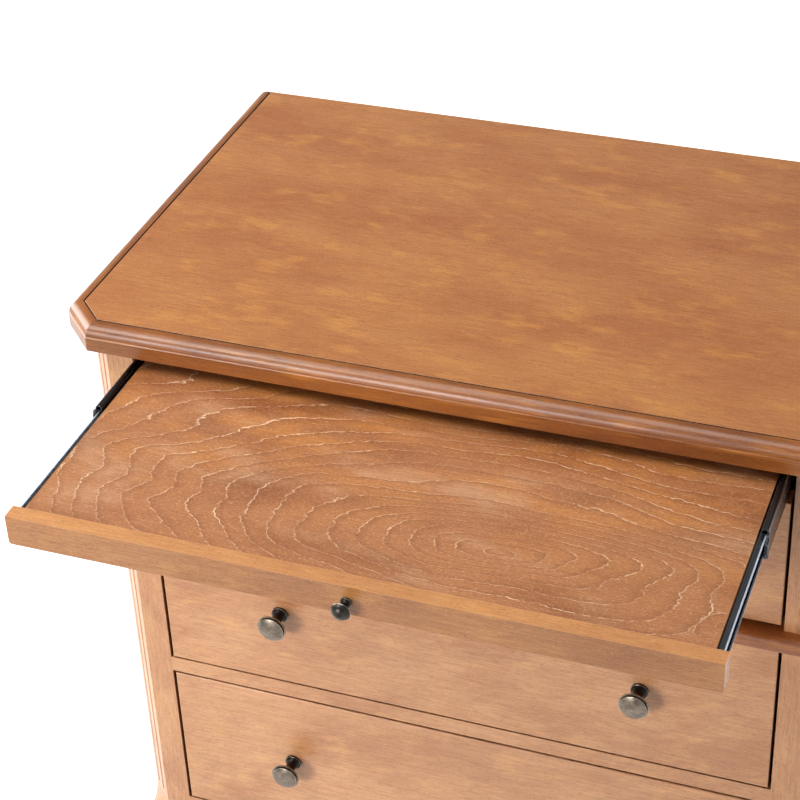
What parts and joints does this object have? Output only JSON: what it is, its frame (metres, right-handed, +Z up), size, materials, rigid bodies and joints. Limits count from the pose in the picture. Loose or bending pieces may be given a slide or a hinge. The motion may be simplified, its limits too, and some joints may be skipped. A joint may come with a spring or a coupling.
{
  "type": "chest of drawers",
  "caption": "Wooden chest with a pull-out tray under its top, deep drawers with metal knobs, fluted canted corner posts and curved front legs.",
  "frame": {"origin": "on the floor, at the centre of the ground the chest covers with its tray drawn out as modelled", "axes": "+Z up, +X to the right as seen from the front, -Y out of the front, the way the drawers and tray open"},
  "size_m": [0.785, 0.763, 1],
  "materials": {
    "top_wood": "satin",
    "moulding_wood": "satin",
    "case_wood": "satin",
    "front_wood": "satin",
    "tray_wood": "satin",
    "inner_wood": "matte",
    "slide_steel": "satin",
    "knob_metal": "satin"
  },
  "bodies": {
    "case": {"top_panel": "top_wood", "top_moulding_front": "moulding_wood", "top_moulding_corner_left": "moulding_wood", "top_moulding_corner_right": "moulding_wood", "top_moulding_side_left": "moulding_wood", "top_moulding_side_right": "moulding_wood", "waist_board": "moulding_wood", "waist_return_left": "moulding_wood", "waist_return_right": "moulding_wood", "upper_post_left": "case_wood", "upper_post_right": "case_wood", "leg_left": "case_wood", "leg_right": "case_wood", "rear_post_left": "case_wood", "rear_post_right": "case_wood", "side_panel_left": "case_wood", "side_panel_right": "case_wood", "rail_upper": "case_wood", "rail_lower": "case_wood", "apron": "case_wood", "back_panel": "inner_wood", "bottom_panel": "inner_wood", "slide_cleats": "inner_wood", "case_slides": "slide_steel"},
    "tray": {"tray_board": "tray_wood", "tray_strip": "front_wood", "tray_knob": "knob_metal", "tray_slide_inner_left": "slide_steel", "tray_slide_inner_right": "slide_steel"},
    "tray_slide_middles": {"tray_slide_middle_left": "slide_steel", "tray_slide_middle_right": "slide_steel"},
    "drawer_1": {"drawer_1_front": "front_wood", "drawer_1_side_left": "inner_wood", "drawer_1_side_right": "inner_wood", "drawer_1_back": "inner_wood", "drawer_1_bottom": "inner_wood", "drawer_1_knobs": "knob_metal", "drawer_1_slides": "slide_steel"},
    "drawer_2": {"drawer_2_front": "front_wood", "drawer_2_side_left": "inner_wood", "drawer_2_side_right": "inner_wood", "drawer_2_back": "inner_wood", "drawer_2_bottom": "inner_wood", "drawer_2_knobs": "knob_metal", "drawer_2_slides": "slide_steel"},
    "drawer_3": {"drawer_3_front": "front_wood", "drawer_3_side_left": "inner_wood", "drawer_3_side_right": "inner_wood", "drawer_3_back": "inner_wood", "drawer_3_bottom": "inner_wood", "drawer_3_knobs": "knob_metal", "drawer_3_slides": "slide_steel"},
    "drawer_4": {"drawer_4_front": "front_wood", "drawer_4_side_left": "inner_wood", "drawer_4_side_right": "inner_wood", "drawer_4_back": "inner_wood", "drawer_4_bottom": "inner_wood", "drawer_4_knobs": "knob_metal", "drawer_4_slides": "slide_steel"}
  },
  "joints": [
    {"name": "tray_pull", "type": "slide", "parent": "case", "child": "tray", "axis": [0, -1, 0], "range_m": [-0.259, 0.091]},
    {"name": "slide_middle_travel", "type": "slide", "parent": "case", "child": "tray_slide_middles", "axis": [0, -1, 0], "range_m": [-0.1295, 0.0455]},
    {"name": "drawer_1_pull", "type": "slide", "parent": "case", "child": "drawer_1", "axis": [0, -1, 0], "range_m": [0, 0.3]},
    {"name": "drawer_2_pull", "type": "slide", "parent": "case", "child": "drawer_2", "axis": [0, -1, 0], "range_m": [0, 0.3]},
    {"name": "drawer_3_pull", "type": "slide", "parent": "case", "child": "drawer_3", "axis": [0, -1, 0], "range_m": [0, 0.3]},
    {"name": "drawer_4_pull", "type": "slide", "parent": "case", "child": "drawer_4", "axis": [0, -1, 0], "range_m": [0, 0.3]}
  ],
  "couplings": [
    {"joint": "slide_middle_travel", "follows": "tray_pull", "ratio": 0.5}
  ]
}
